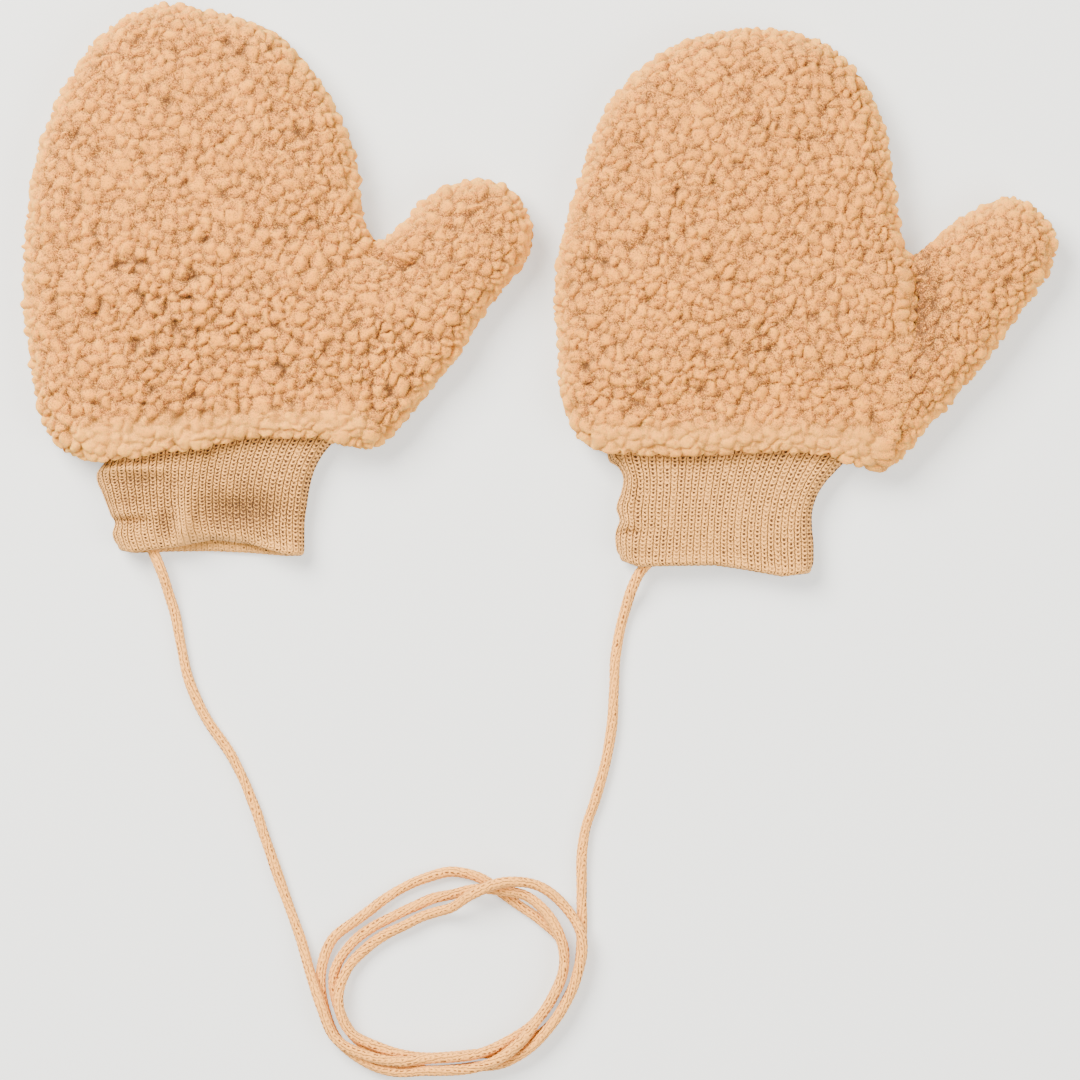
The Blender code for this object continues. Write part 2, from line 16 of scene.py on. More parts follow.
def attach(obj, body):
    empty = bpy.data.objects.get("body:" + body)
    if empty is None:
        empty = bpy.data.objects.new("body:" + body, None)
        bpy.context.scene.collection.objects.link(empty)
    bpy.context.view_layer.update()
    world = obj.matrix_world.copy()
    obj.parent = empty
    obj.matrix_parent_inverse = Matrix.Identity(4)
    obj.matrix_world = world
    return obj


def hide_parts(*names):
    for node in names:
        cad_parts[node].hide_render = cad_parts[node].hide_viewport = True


bl_info = {
    "name": "Baby Mittens",
    "version": (1, 0, 0),
    "blender": (4, 5, 0),
    "location": "3D View > Sidebar > Mittens",
    "description": "Curly fleece, rib-knit cuffs and a knitted cord for a pair of baby mittens",
    "category": "Object",
}

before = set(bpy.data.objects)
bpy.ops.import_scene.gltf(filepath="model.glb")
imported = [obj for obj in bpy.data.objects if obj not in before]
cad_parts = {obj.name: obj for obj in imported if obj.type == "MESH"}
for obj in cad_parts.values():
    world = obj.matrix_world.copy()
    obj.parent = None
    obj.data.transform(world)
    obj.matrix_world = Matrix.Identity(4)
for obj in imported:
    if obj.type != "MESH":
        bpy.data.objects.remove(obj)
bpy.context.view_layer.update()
MM = 0.001

# Fleece panels: node, which way its curly side faces, mesh step, seed, flat width and length, flat area in
# cm2, and what it lies on.
PANELS = (
    ("right_palm_panel", 1, 0.40, 11, 135, 122, 117, "right_back_panel"),
    ("right_back_panel", -1, 0.75, 12, 97, 122, 95, "floor"),
    ("right_thumb_back", -1, 0.75, 13, 46, 73, 19, "floor"),
    ("left_back_panel", 1, 0.38, 14, 95, 118, 93, "left_palm_panel"),
    ("left_thumb_back", 1, 0.38, 15, 49, 74, 20, "left_palm_panel"),
    ("left_palm_panel", -1, 0.75, 16, 133, 118, 113, "floor"),
)
# Fine creases between the curls, as rows of x, y at one end, x, y at the other, depth and half width. They
# are also painted darker as shade.
CREASES = ((-43.5, 9.6, -34.5, 6.6, 1.3, 1.1),)
# Edges that a back panel and its thumb share, as rows of x, y at one end, x, y at the other.
JOINED = ((95.7, 7.8, 96.1, -2.5), (96.1, -2.5, 95.1, -14), (95.1, -14, 93.6, -25.5),
          (93.6, -25.5, 91.1, -36), (91.1, -36, 88.6, -46.5))
# Dips where the thumb goes in under the side of the hand, as rows of x, y, reach in x, reach in y, depth.
# They are also painted darker as shade, with no painted rim light.
DIPS = {"left_thumb_back": ((99, -4, 5.5, 14.0, 3.0),)}
# How far a panel hangs over the thumb that comes out from under it.
OVERHANG = {"left_back_panel": 1.8}
# Patches where the curls lie more open, as rows of x, y, reach in x, reach in y, how much deeper; their gaps
# also get more painted shade.
OPEN_PATCHES = ((-86, -6, 28, 24, 0.3), (-41, -15, 14, 11, 0.24), (52, -18, 30, 20, 0.1))
# Pale rolled hems, as rows of x, y at one end, x, y at the other, and half width.
HEM_BANDS = ((-118, -40.5, -50, -37.0, 6.0), (14, -41.0, 84, -41.5, 6.0))
SMOOTHING = (0.5, -0.52) * 12  # rounds of smoothing, each with one that undoes its shrinking
WELD = 1e-3  # points nearer than this are one

# The curls: least and most of their spacing and width over the usual spacing, of their length over their
# width and of their height over the tallest.
CURL_SPACING, CURL_WIDTH, CURL_STRETCH, CURL_TALLNESS = (0.8, 1.3), (0.95, 1.15), (0.95, 1.4), (0.78, 1.04)
CURL_TRIES = 30000  # places tried for the middle of a curl
CURL_REACH = 1.3  # into the cloth, over its width
CURL_ROUNDNESS = 0.8  # power of its dome
CURL_CLEAR = 0.22  # the gap ends where one curl stands this share of its height over the next
SPACING_DRIFT = (8.0, 0.25)  # size of the patches with wider or narrower spacing, and how much
CURL_BENDS = ((2.6, 1.1), (1.1, 0.42))  # size and amount of the bends in the curls' outlines
GAP_DEPTH = (4.0, 0.42, 0.42)  # size of the patches with deeper gaps, usual depth, how much it varies
CURL_SOFTNESS = 0.5  # distance over which the curls' edges are softened
FORM_LEVEL = 0.7  # this share of the way up the curls is the panel's plain form
CURL_GAIN = 1.06  # how much the curls stand out, where no patch lies open
CRUMPLE = (1.3, 0.13, 0.07)  # size of small crumples, their depth and their effect on the shade
LUMPS = (0.75, 0.1, 0.08)  # the same of smaller lumps
INSIDE_FACING = -0.2  # faces that turn this far from the curly side are the inside
STEEP_FACING = (0.9, 0.3)  # a rim gets steep as the upward part of its normal falls from 0.9 to 0.3
RIM_LIGHT_FACING = (0.99, 0.24)  # and gets painted rim light as it falls between these
# Strength of the painted rim light on steep rims, and how much paler the rolled hems are.
PAINTED_RIM_LIGHT, PALE_HEM = 0.75, 0.54
EDGE_RINGS = 4  # rings of mesh over which the curls settle to the sewn edge
SEAM_HEIGHT = 5.56  # where the upper and lower panels are sewn together
SEAM_GAP = 0.2
SEAM_REACH = 0.7  # edges up to this far off that height are drawn to it, and less up to twice this
SEAM_WAVE = (4.0, 0.4, 7)  # size and depth of its waves, and their seed

# Cuffs. "edges": rows of the share of the way from mouth to hem, and the cuff's left and right edge there.
# "mouth": rows of the share of the way across, y of the lower layer, y of the upper layer. "relief": soft
# relief of the upper layer, rows of x, y, reach in x, reach in y, rise, and change of painted shade: darker
# in
# its valleys, pinches and grooves, lighter on its ridges and folds, and darker over some broad areas. "hem":
# what the cuff is sewn to, rows of x, y.
CUFFS = {
    "right_cuff": {
        "edges": ((0.0, -109.8, -61.2), (0.06, -110.8, -61.1), (0.14, -111.3, -61.1), (0.25, -110.6, -61.0),
                  (0.36, -111.8, -60.5), (0.5, -112.9, -59.8), (0.64, -114.0, -58.6), (0.78, -115.2, -56.2),
                  (0.9, -115.3, -53.8), (1.0, -113.0, -52.0)),
        "mouth": ((0.0, -67.4, -67.4), (0.08, -68.2, -68.0), (0.3, -67.9, -66.7), (0.5, -67.9, -64.6),
                  (0.7, -68.3, -65.6), (0.9, -69.0, -68.6), (1.0, -68.9, -68.9)),
        "relief": ((-92.2, -60.5, 2.6, 7.0, 2.8, 0.3), (-77, -57.5, 12.0, 4.8, -2.6, -0.36),
                   (-107.5, -59.9, 5.0, 0.8, -1.3, -0.16), (-106, -57.4, 6.0, 1.5, 1.0, 0.06),
                   (-104, -64.5, 7.0, 2.2, 0.8, 0.06), (-105, -46.2, 9.0, 1.3, 1.5, 0.25),
                   (-104, -49.6, 9.5, 1.6, -0.9, -0.22), (-106, -54, 8.0, 3.0, -0.5, -0.2),
                   (-97, -60.5, 2.2, 4.5, -1.0, -0.26), (-84, -50, 30.0, 14.0, 0.0, -0.16),
                   (-84, -66, 13.0, 2.4, -3.4, 0.14)),
        "hem": ((-45, -41), (-52.5, -36.5), (-56.5, -34.5), (-65, -34.5), (-74, -34.5), (-82.5, -36),
                (-91, -38), (-97.5, -38), (-104, -39.5), (-115, -44.5)),
    },
    "left_cuff": {
        "edges": ((0.0, 20.8, 70.8), (0.06, 19.9, 71.4), (0.15, 19.6, 71.5), (0.22, 19.8, 71.4),
                  (0.31, 20.7, 71.1), (0.42, 19.9, 71.0), (0.55, 21.1, 71.9), (0.68, 21.7, 74.1),
                  (0.8, 19.9, 77.2), (0.9, 18.0, 79.4), (1.0, 17.4, 80.8)),
        "mouth": ((0.0, -70.0, -70.0), (0.1, -71.8, -71.8), (0.3, -71.6, -71.4), (0.5, -71.5, -71.2),
                  (0.65, -72.6, -72.4), (0.85, -74.4, -74.3), (1.0, -73.4, -73.4)),
        "relief": ((22.5, -63, 3.6, 0.8, -1.2, -0.14), (23, -60.2, 3.0, 1.8, 1.0, 0.05),
                   (24, -66.2, 3.5, 2.0, 1.0, 0.05), (25.6, -54, 1.2, 8.0, -0.8, -0.12),
                   (50, -60, 14.0, 7.0, 0.4, 0.04), (48, -45, 30.0, 4.0, 0.0, -0.05)),
        "hem": ((88.5, -46.5), (83, -42.5), (77.5, -40), (67.5, -38.5), (57.5, -38), (44.5, -39), (31.5, -39),
                (20.5, -38.5), (17, -42)),
    },
}
CUFF_HEIGHT = 8.6  # lying flat
CUFF_RIBS = 64  # right round
CUFF_ROWS = (30, 4, 30)  # stitches outside, round the fold and inside
CUFF_STEPS = (5, 3)  # mesh faces across a rib and along a stitch
FOLD_SHARE = 0.08  # share of the cuff's length that the painted light at the fold covers
FOLD_PAINTED_LIGHT = (0.6, 0.2)  # painted light: lighter by this in the lower layer, which lies in the upper layer's shadow, and in the upper one
FOLD_FLATNESS = 0.7  # how much of the ribs' relief the fold takes away
INSIDE_FADE = 4  # the ribs are flat from 1 / this of the way in
KINK_REACH = 5.0  # how far in from its edge a cuff follows the edge's small kinks
KNIT_GRAIN = (0.9, 0.06)  # size and depth of the knit's uneven surface
HEM_GAP = 0.6  # from the cuff's end to the hem

# The cord's route, as rows of x, y, height of its middle. It starts inside the right hand's cuff.
FLAT = 1.4
FIRST_LEAD = ((-102.5, -64.5, 4.1), (-101.3, -66.5, 4.2), (-100, -69, 4.4), (-98, -74, 3.8),
              (-96.5, -79, 2.2), (-95, -84, FLAT), (-93.5, -92, FLAT), (-91.5, -101, FLAT), (-87, -111, FLAT),
              (-80, -121.5, FLAT), (-75, -132.5, FLAT), (-70.5, -145.5, FLAT), (-66.5, -157, FLAT),
              (-62.3, -168.5, 2.0))
LAST_LEAD = ((11, -168, FLAT), (11, -157, FLAT), (11, -148, FLAT), (12, -140, FLAT), (14.5, -132.5, FLAT),
             (17.5, -121.5, FLAT), (19, -111.5, FLAT), (19.4, -104.5, FLAT), (19.7, -96.5, FLAT),
             (21, -88, FLAT), (22.6, -82, 2.0), (24.1, -77.5, 3.6), (26.1, -73.2, 4.6), (28.9, -70.4, 4.5),
             (32, -68.6, 4.4))
COIL_CENTRE = (-22.8, -177.1)
STACK = 3.3  # between the middles of two lengths that lie side by side or one on the other
# Where all four passes run together they are a square bundle that turns over once: rows of the angle round
# the coil, radius of the bundle's middle, half its width and how far it has turned.
BUNDLE = ((210, 32.9, 2.0, 0), (225, 30.2, 1.9, 30), (240, 27.6, 1.8, 60), (255, 25.1, 1.7, 90),
          (270, 24.0, 1.7, 90), (285, 24.1, 1.7, 90), (300, 25.1, 1.7, 120), (315, 26.1, 1.7, 150),
          (330, 27.4, 1.8, 180), (345, 28.9, 1.9, 180), (360, 30.9, 1.95, 180))
BUNDLE_CORNERS = (45, -45, 225, 135)  # where each pass sits in the bundle before it turns
# Where the three turns spread: rows of the angle, then radius and height of the first, second and third.
FAN = ((15, 29.6, 1.4, 29.6, 4.7, 35.0, 4.7), (30, 26.5, 1.4, 29.1, 4.4, 33.9, 3.6),
       (45, 24.4, 1.4, 27.7, 4.3, 31.7, 5.5), (60, 24.3, 1.4, 24.5, 5.0, 27.0, 7.6),
       (75, 25.4, 1.4, 22.2, 3.7, 21.0, 7.0), (90, 25.9, 1.4, 20.0, 1.9, 16.7, 4.3),
       (105, 25.2, 1.4, 19.5, 1.4, 16.0, 2.6), (120, 25.2, 1.4, 19.5, 1.4, 16.3, 2.6),
       (135, 25.8, 1.4, 20.6, 1.4, 17.1, 2.6), (150, 27.7, 1.4, 23.4, 1.4, 19.5, 2.0),
       (165, 32.2, 1.4, 27.2, 1.4, 23.1, 1.9))
# Where they gather again: rows of the angle, then radius and height of each of the four passes.
GATHER = ((180, 37.1, 3.2, 34.1, 1.4, 30.6, 1.4, 27.6, 2.9),
          (195, 35.2, 4.7, 34.6, 1.4, 31.1, 1.4, 30.6, 4.7))
CORD_COLUMNS = 5  # of stitches, right round
CORD_SIDES = 20
CORD_RING = 0.36  # along the cord
CORD_TURNING = ((1.6, 23, 0), (0.8, 9.1, 1))  # slow turning to and fro, as angle, distance, start
CORD_UNEVENNESS = ((0.03, 6.3), (0.03, 2.9))  # share of its thickness, distance
CORD_RELIEF = (0.05, 0.04)  # height of the stitches, and how far they lie in

KNIT_FIBRES, FLEECE_FIBRES = 2600.0, 2900.0  # scale of the wool's grain, to the metre
FLOOR_PLACE = (0, -0.06, -0.0003)  # in metres, just below the cloth
VIEW_MIDDLE = (0.00013, -0.06474, 0.007)  # what the camera looks at, in metres
SENSOR = 36.0  # width of the camera's sensor


class FleeceSettings(bpy.types.PropertyGroup):
    """Sizes and colours of the curly fleece."""

    curl_pitch: bpy.props.FloatProperty(
        name="Curl spacing", description="Distance between neighbouring curls", default=0.0027, unit="LENGTH"
    )
    curl_height: bpy.props.FloatProperty(
        name="Curl height", description="Depth of the gaps between the curls", default=0.0024, unit="LENGTH"
    )
    top: bpy.props.FloatVectorProperty(
        name="Curl tops", description="Colour of the curls", default=(0.95, 0.452, 0.068), subtype="COLOR"
    )
    # Painted shade: the ramp darkens the curls' sides towards this colour.
    middle: bpy.props.FloatVectorProperty(
        name="Curl sides", description="Colour of the curls' sides", default=(0.54, 0.255, 0.085),
        subtype="COLOR"
    )
    # Painted shade: the colour deep in the gaps between the curls.
    gap_shade: bpy.props.FloatVectorProperty(
        name="Gaps", description="Colour deep between the curls", default=(0.16, 0.078, 0.04), subtype="COLOR"
    )
    # Colour of the painted rim light on steep edges and of the paler rolled hems.
    painted_rim_light_and_hem: bpy.props.FloatVectorProperty(
        name="Edges", description="Colour of the rolled hems and edges", default=(0.99, 0.55, 0.145),
        subtype="COLOR"
    )


class KnitSettings(bpy.types.PropertyGroup):
    """Sizes and colours of the rib knit."""

    wall: bpy.props.FloatProperty(
        name="Wall", description="Thickness of the folded knit", default=0.0024, unit="LENGTH"
    )
    rib_height: bpy.props.FloatProperty(
        name="Rib height", description="Height of a rib over the groove beside it", default=0.0004,
        unit="LENGTH"
    )
    top: bpy.props.FloatVectorProperty(
        name="Ribs", description="Colour of the ribs", default=(0.82, 0.465, 0.165), subtype="COLOR"
    )
    # Painted shade: the colour in the holes and grooves between the stitches.
    gap_shade: bpy.props.FloatVectorProperty(
        name="Grooves", description="Colour between the stitches", default=(0.075, 0.038, 0.023),
        subtype="COLOR"
    )


class CordSettings(bpy.types.PropertyGroup):
    """Sizes and colours of the cord."""

    diameter: bpy.props.FloatProperty(
        name="Diameter", description="Thickness of the cord", default=0.0028, unit="LENGTH"
    )
    stitch: bpy.props.FloatProperty(
        name="Stitch", description="Length of one stitch along the cord", default=0.0015, unit="LENGTH"
    )
    top: bpy.props.FloatVectorProperty(
        name="Stitches", description="Colour of the stitches", default=(0.89, 0.475, 0.15), subtype="COLOR"
    )
    # Painted shade: the colour in the gaps between the cord's stitches.
    gap_shade: bpy.props.FloatVectorProperty(
        name="Gaps", description="Colour between the stitches", default=(0.2, 0.085, 0.035), subtype="COLOR"
    )


class StageSettings(bpy.types.PropertyGroup):
    """Floor, light and camera."""

    floor: bpy.props.FloatVectorProperty(
        name="Floor", description="Colour of the floor", default=(0.54, 0.68, 0.98), subtype="COLOR"
    )
    glow: bpy.props.FloatProperty(
        name="Floor glow", description="Light that comes up through the floor", default=0.75
    )
    warmth: bpy.props.FloatVectorProperty(
        name="Light colour", description="Colour of all the light", default=(1.0, 0.79, 0.51), subtype="COLOR"
    )
    key: bpy.props.FloatProperty(
        name="Key light", description="Strength of the large soft light", default=103.0, unit="POWER"
    )
    fill: bpy.props.FloatProperty(
        name="Sky", description="Strength of the even light from all round", default=0.6
    )
    distance: bpy.props.FloatProperty(
        name="Camera height", description="Height of the camera over the mittens", default=2.0, unit="LENGTH"
    )
    view_width: bpy.props.FloatProperty(
        name="View width", description="Width of what the camera takes in", default=0.2808, unit="LENGTH"
    )


def smoothstep(share):
    """The share held between 0 and 1 and eased at both."""
    share = np.clip(share, 0, 1)
    return share * share * (3 - 2 * share)


def ramp(values, start, end):
    """0 up to start, 1 from end on and smooth between."""
    return smoothstep((values - start) / (end - start))


def smooth_curve(points, pieces=12):
    """Points of a curve that runs evenly through the given ones."""
    given = np.array(points, float)
    given = np.vstack([2 * given[0] - given[1], given, 2 * given[-1] - given[-2]])
    steps = np.maximum(np.linalg.norm(np.diff(given, axis=0), axis=1), 1e-6) ** 0.5
    knots = np.concatenate([[0], np.cumsum(steps)])
    found = []
    for i in range(1, len(given) - 2):
        t0, t1, t2, t3 = knots[i - 1 : i + 3]
        p0, p1, p2, p3 = given[i - 1 : i + 3]
        for t in np.linspace(t1, t2, pieces, endpoint=False):
            a1 = ((t1 - t) * p0 + (t - t0) * p1) / (t1 - t0)
            a2 = ((t2 - t) * p1 + (t - t1) * p2) / (t2 - t1)
            a3 = ((t3 - t) * p2 + (t - t2) * p3) / (t3 - t2)
            b1 = ((t2 - t) * a1 + (t - t0) * a2) / (t2 - t0)
            b2 = ((t3 - t) * a2 + (t - t1) * a3) / (t3 - t1)
            found.append(((t2 - t) * b1 + (t - t1) * b2) / (t2 - t1))
    found.append(given[-2])
    return np.array(found)


def spaced(curve, step):
    """The same curve as points an equal distance apart, and that distance along it."""
    along = np.concatenate([[0], np.cumsum(np.linalg.norm(np.diff(curve, axis=0), axis=1))])
    wanted = np.linspace(0, along[-1], round(along[-1] / step) + 1)
    return np.stack([np.interp(wanted, along, curve[:, axis]) for axis in range(3)], axis=1), wanted


def distance_to_lines(points, rows):
    """Distance from each point to each row's line, in plan."""
    ends = np.array(rows, float)[:, :4]
    start, run = ends[:, :2], ends[:, 2:4] - ends[:, :2]
    offset = points[:, None, :2] - start[None]
    share = np.clip((offset * run).sum(axis=2) / (run**2).sum(axis=1), 0, 1)
    return np.linalg.norm(offset - share[..., None] * run, axis=2)


def swells(points, rows):
    """Height of soft round swells at each point, from rows of x, y, reach in x, reach in y, height."""
    total = np.zeros(len(points))
    for x, y, reach_x, reach_y, height in rows:
        away = ((points[:, 0] - x) / reach_x) ** 2 + ((points[:, 1] - y) / reach_y) ** 2
        total += height * np.exp(-away)
    return total


def wander(points, size, seed):
    """Smooth random vectors of length up to about 1 that change over a distance of size."""
    noise.seed_set(seed)
    return np.array([noise.noise_vector(Vector(point) / size) for point in points])


def finished(name, bm, material, solid, layers):
    """The mesh as an object in metres, with its attributes and material, that stands for its CAD node."""
    bmesh.ops.scale(bm, vec=(MM, MM, MM), verts=bm.verts[:])
    mesh = bpy.data.meshes.new(name)
    bm.to_mesh(mesh)
    bm.free()
    for layer, values in layers.items():
        attribute = mesh.attributes.new(layer, "FLOAT", "POINT")
        attribute.data.foreach_set("value", np.ascontiguousarray(values, np.float32))
    mesh.shade_smooth()
    mesh.materials.append(material)
    piece = bpy.data.objects.new(name, mesh)
    bpy.context.scene.collection.objects.link(piece)
    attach(piece, "root")
    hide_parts(solid)
    return piece


def open_edges(bm):
    return [edge for edge in bm.edges if edge.is_boundary]


def open_points(bm):
    return [vert for vert in bm.verts if vert.is_boundary]


def edge_ends(bm):
    """The two vertices of each edge, as indexes."""
    return np.array([(edge.verts[0].index, edge.verts[1].index) for edge in bm.edges])


def place_points(bm, points):
    for vert, point in zip(bm.verts, points):
        vert.co = point


def flat_sheet(columns, rows):
    """A flat sheet with its own map, and its points as shares of its width and length."""
    bm = bmesh.new()
    bm.loops.layers.uv.new("UVMap")
    bmesh.ops.create_grid(bm, x_segments=columns, y_segments=rows, size=0.5, calc_uvs=True)
    return bm, np.array([vert.co for vert in bm.verts]) + 0.5


def even_skin(solid, step):
    """A CAD node's form as one even mesh in millimetres, its facets smoothed away."""
    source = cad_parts[solid]
    bm = bmesh.new()
    bm.from_mesh(source.data)
    bmesh.ops.transform(bm, matrix=Matrix.Scale(1 / MM, 4) @ source.matrix_world, verts=bm.verts[:])
    bmesh.ops.remove_doubles(bm, verts=bm.verts[:], dist=WELD)
    mesh = bpy.data.meshes.new("even_form")
    bm.to_mesh(mesh)
    bm.free()
    form = bpy.data.objects.new("even_form", mesh)
    bpy.context.scene.collection.objects.link(form)
    remesh = form.modifiers.new("Even", "REMESH")
    remesh.mode = "VOXEL"
    remesh.voxel_size = step
    even = bpy.data.meshes.new_from_object(form.evaluated_get(bpy.context.evaluated_depsgraph_get()))
    bpy.data.objects.remove(form)
    bm = bmesh.new()
    bm.from_mesh(even)
    for factor in SMOOTHING:
        bmesh.ops.smooth_vert(
            bm, verts=bm.verts[:], factor=factor, use_axis_x=True, use_axis_y=True, use_axis_z=True
        )
    bm.normal_update()
    return bm


def scatter(points, pitch, rng):
    """Indexes of points that lie at least their own pitch apart, picked in random order."""
    reach = pitch.max()
    shifts = tuple(itertools.product((-1, 0, 1), repeat=3))
    cells = {}
    picked = []
    for index in rng.permutation(len(points)):
        x, y, z = np.floor(points[index] / reach).astype(int)
        around = [cells.get((x + dx, y + dy, z + dz), ()) for dx, dy, dz in shifts]
        near = (points[other] for cell in around for other in cell)
        if all(math.dist(points[index], other) >= pitch[index] for other in near):
            cells.setdefault((x, y, z), []).append(index)
            picked.append(index)
    return np.array(picked)


def curl_relief(points, normals, pitch, seed):
    """Height of the curls, from 0 deep between them to 1 on the tallest, and the shade of each one."""
    rng = np.random.default_rng(seed)
    tries = rng.choice(len(points), min(len(points), CURL_TRIES), replace=False)
    patch, drift = SPACING_DRIFT
    spacing = pitch * (1 + drift * wander(points[tries], patch, seed)[:, 0])
    spacing *= rng.uniform(*CURL_SPACING, len(tries))
    chosen = scatter(points[tries], spacing, rng)
    picked, spacing = tries[chosen], spacing[chosen]
    count = len(picked)
    places, facing = points[picked], normals[picked]
    angle = rng.uniform(0, math.pi, count)
    along = np.cross(facing, (0, 1, 0.01))
    along /= np.linalg.norm(along, axis=1)[:, None]
    across = np.cross(facing, along)
    first = along * np.cos(angle)[:, None] + across * np.sin(angle)[:, None]
    axes = np.stack([first, np.cross(facing, first), facing], axis=2)
    stretch = rng.uniform(*CURL_STRETCH, count)
    wide = spacing * rng.uniform(*CURL_WIDTH, count)
    radii = np.stack([wide * stretch, wide / stretch, wide * CURL_REACH], axis=1)
    tall = rng.uniform(*CURL_TALLNESS, count)
    shade = rng.random(count)
    bent = points
    for offset, (size, amount) in enumerate(CURL_BENDS, 1):
        bent = bent + amount * wander(points, size, seed + offset)
    order = np.argsort(bent[:, 0])
    sorted_x = bent[order, 0]
    height, next_height, owner = np.zeros((3, len(points)))
    for i, place in enumerate(places):
        reach = radii[i].max()
        low, high = np.searchsorted(sorted_x, (place[0] - reach, place[0] + reach))
        near = order[low:high]
        near = near[abs(bent[near, 1] - place[1]) < reach]
        local = (bent[near] - place) @ axes[i] / radii[i]
        dome = tall[i] * np.maximum(1 - (local**2).sum(axis=1), 0) ** CURL_ROUNDNESS
        higher = dome > height[near]
        next_height[near] = np.where(higher, height[near], np.maximum(next_height[near], dome))
        height[near[higher]] = dome[higher]
        owner[near[higher]] = shade[i]
    clear = smoothstep((height - next_height) / CURL_CLEAR)
    patch, usual, varies = GAP_DEPTH
    gap = usual + varies * wander(points, patch, seed + len(CURL_BENDS) + 1)[:, 0]
    return height * (1 - gap * (1 - clear)), owner


def softened(bm, values, rounds):
    """The values with each vertex's drawn towards its neighbours'."""
    ends = edge_ends(bm)
    count = np.bincount(ends.ravel(), minlength=len(values))
    for _ in range(rounds):
        total = np.bincount(ends[:, 0], values[ends[:, 1]], len(values))
        total += np.bincount(ends[:, 1], values[ends[:, 0]], len(values))
        values = 0.5 * values + 0.5 * total / count
    return values


def rings_from_edge(bm, count):
    """How many edges each vertex is from the open edge, up to count, and its nearest vertex on that edge."""
    rings = np.full(len(bm.verts), float(count))
    rings[[vert.index for vert in open_points(bm)]] = 0
    nearest = np.arange(len(rings))
    ends = edge_ends(bm)
    for _ in range(count):
        for here, there in (ends.T, ends.T[::-1]):
            closer = rings[there] + 1 < rings[here]
            rings[here[closer]] = rings[there[closer]] + 1
            nearest[here[closer]] = nearest[there[closer]]
    return rings, nearest


def fleece_panel(row, settings, material):
    """One panel of curly fleece: its curls outside, plain inside."""
    solid, up, step, seed, width, length, area, under = row
    bm = even_skin(solid, step)
    inside = [face for face in bm.faces if face.normal.z * up < INSIDE_FACING]
    bmesh.ops.delete(bm, geom=inside, context="FACES")
    bm.normal_update()
    bm.verts.index_update()
    points = np.array([vert.co for vert in bm.verts])
    normals = np.array([vert.normal for vert in bm.verts])

    # The curls' height over the panel's plain form.
    height, shade = curl_relief(points, normals, settings.curl_pitch / MM, seed)
    height = softened(bm, height, round(CURL_SOFTNESS / step)) - FORM_LEVEL
    height *= CURL_GAIN + swells(points, OPEN_PATCHES)
    crumple = wander(points, CRUMPLE[0], seed + 5)[:, 0]
    lumps = wander(points, LUMPS[0], seed + 6)[:, 0]

    # Where each point lies, from 0 to 1: on a steep rim, on a hem, in a crease or on a shared edge.
    facing = normals[:, 2] * up
    steep = ramp(facing, *STEEP_FACING)
    on_top = float(up > 0)
    bands, creases = np.array(HEM_BANDS), np.array(CREASES)
    banded = smoothstep(1.5 - distance_to_lines(points, bands) / bands[:, 4]).max(axis=1) * on_top
    crease = creases[:, 4] * np.exp(-((distance_to_lines(points, creases) / creases[:, 5]) ** 2))
    crease = crease.sum(axis=1)
    joined = smoothstep(1.2 - distance_to_lines(points, JOINED).min(axis=1) / 2.5) * on_top
    dip = swells(points, DIPS.get(solid, ()))
    rings, nearest = rings_from_edge(bm, EDGE_RINGS)
    fade = smoothstep(rings / EDGE_RINGS)

    rise = settings.curl_height / MM * height * (1 + 0.5 * steep) * (1 - 0.2 * banded)
    rise += CRUMPLE[1] * crumple + LUMPS[1] * lumps + 0.2 * steep
    rise = rise * (0.5 + 0.5 * fade) * (1 - 0.4 * joined) - crease * on_top * (1 - steep) + 0.4 * joined
    wave, depth, wave_seed = SEAM_WAVE
    seam = SEAM_HEIGHT + up * SEAM_GAP / 2 + depth * wander(points, wave, wave_seed)[:, 0]
    sewn = (1 - fade) * smoothstep(2 - abs(points[nearest, 2] - SEAM_HEIGHT) / SEAM_REACH)
    points = points + normals * rise[:, None]
    points[:, 0] += OVERHANG.get(solid, 0.0) * joined
    points[:, 2] += sewn * (seam - points[nearest, 2]) - dip
    points[:, 2] = np.maximum(points[:, 2], seam) if up > 0 else np.clip(points[:, 2], 0.0, seam)
    place_points(bm, points)
    bmesh.ops.holes_fill(bm, edges=open_edges(bm), sides=0)

    # Level for the colour ramp: the curls' height, so that the gaps and the curls' sides get painted shade,
    # less of it on steep rims; the creases and the dip under the hand are painted darker as shade.
    relief = 0.65 + 1.12 * (1 - 0.25 * steep) * height - 0.3 * crease - 0.22 * dip
    relief += CRUMPLE[2] * crumple + LUMPS[2] * lumps
    # Painted rim light on steep rims and paler rolled hems; no rim light in the dip and less along the shared
    # edge.
    painted_rim_light_and_hem = np.maximum(PAINTED_RIM_LIGHT * ramp(facing, *RIM_LIGHT_FACING), PALE_HEM * banded)
    painted_rim_light_and_hem *= (1 - np.minimum(dip, 1)) * (1 - 0.75 * joined)
    layers = {"relief": relief, "shade": shade, "painted_rim_light_and_hem": painted_rim_light_and_hem}
    piece = finished(solid + "_fleece", bm, material, solid, layers)
    return piece


def flat_tube(part, left, right, inset):
    """Points round a flat tube that lies on z = 0, and its girth; part 0 is the outermost point of its left
    end."""
    middle = CUFF_HEIGHT / 2
    half = middle - inset
    run = right - left - 2 * middle
    turn = math.pi * half
    girth = 2 * run + 2 * turn
    way = part * girth
    # Where the way ends up round the left end, over the top, down round the right end and underneath.
    left_end, top, right_end, below = turn / 2, turn / 2 + run, 1.5 * turn + run, 1.5 * turn + 2 * run
    along = np.clip(way - left_end, 0, run) - np.clip(way - right_end, 0, run)
    round_ends = np.minimum(way, left_end) + np.clip(way - top, 0, turn) + np.maximum(way - below, 0)
    x = left + middle + along - half * np.cos(round_ends / half)
    z = middle + half * np.sin(round_ends / half)
    return x, z, girth


